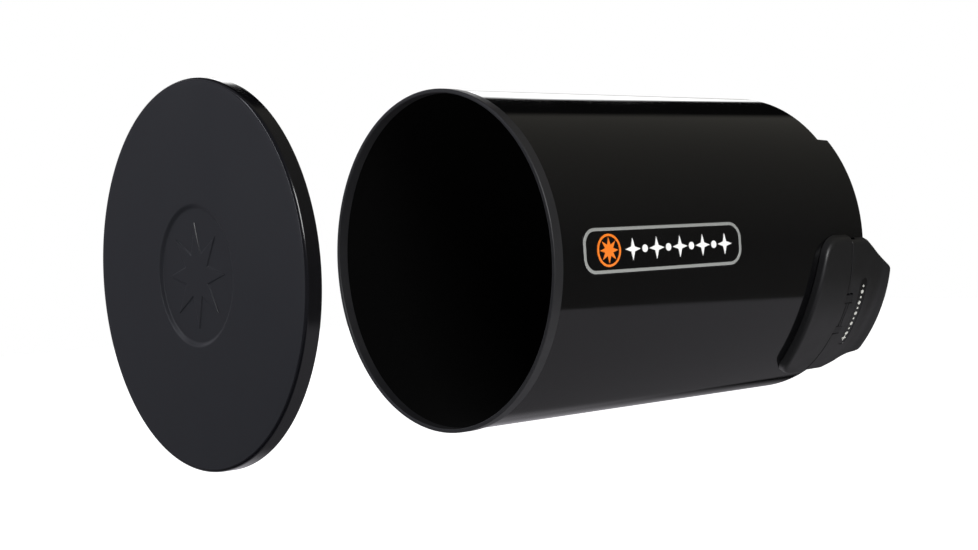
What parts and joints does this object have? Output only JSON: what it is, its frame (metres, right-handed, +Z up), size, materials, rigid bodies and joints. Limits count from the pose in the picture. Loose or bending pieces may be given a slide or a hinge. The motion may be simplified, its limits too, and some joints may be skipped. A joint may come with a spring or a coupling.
{
  "type": "telescope dew shield with cap",
  "caption": "Black aluminium lens shade for a catadioptric telescope: a long open tube with a rim trim, a badge, a lever latch that clamps it on, and a pull-off cap.",
  "frame": {"origin": "on the optical axis, in the plane of the stop ring's rear face, where the felt band starts and the telescope's front cell comes to rest", "axes": "+Y along the optical axis towards the telescope, +Z up, and the badge and latch face +X; the cap is pulled off towards -Y"},
  "size_m": [0.2479, 0.5476, 0.244],
  "materials": {
    "powder_coat": "gloss black powder coat on rolled aluminium",
    "edge_trim": "satin black moulded edging",
    "stop_ring": "matt black moulded ring",
    "flock": "black flocking",
    "felt": "black felt",
    "badge_black": "gloss black",
    "badge_silver": "silver ink under clear coat",
    "badge_orange": "orange ink under clear coat",
    "latch_plastic": "satin black moulded ABS",
    "bracket_nylon": "satin black glass-filled nylon",
    "gasket": "matt",
    "steel": "black oxide",
    "bright_steel": "ground steel",
    "shoe_nylon": "glass-filled nylon",
    "pad_rubber": "matt rubber",
    "cap_plastic": "semi-gloss black moulded ABS"
  },
  "bodies": {
    "shield": {"shield_tube": "powder_coat", "front_edge_trim": "edge_trim", "stop_ring": "stop_ring", "flock_lining": "flock", "seat_felt": "felt", "badge_plate": "badge_black", "badge_border": "badge_silver", "badge_emblem": "badge_orange", "badge_marks": "badge_silver", "latch_base": "latch_plastic", "hinge_bracket": "bracket_nylon", "latch_gasket": "gasket", "latch_backing_plate": "steel", "latch_screws": "steel", "hinge_pin": "bright_steel", "pin_clips": "bright_steel", "return_springs": "bright_steel"},
    "lever": {"latch_lever": "latch_plastic", "lever_label": "badge_black", "lever_label_marks": "badge_silver"},
    "shoe": {"clamp_shoe": "shoe_nylon", "shoe_pad": "pad_rubber"},
    "cap": {"cap_shell": "cap_plastic", "cap_felt": "felt"}
  },
  "joints": [
    {"name": "lever_hinge", "type": "hinge", "parent": "shield", "child": "lever", "pos_m": [0.1091, 0.0095, -0.05679], "axis": [-0.4617, 0, -0.887], "range_deg": [0, 80]},
    {"name": "shoe_slide", "type": "slide", "parent": "shield", "child": "shoe", "axis": [0.887, 0, -0.4617], "range_m": [0, 0.0013], "deforming": ["return_springs"]},
    {"name": "cap_slide", "type": "slide", "parent": "shield", "child": "cap", "axis": [0, 1, 0], "range_m": [0, 0.19]}
  ],
  "couplings": [
    {"joint": "shoe_slide", "follows": "lever_hinge", "m_per_rad": 0.00093106}
  ]
}
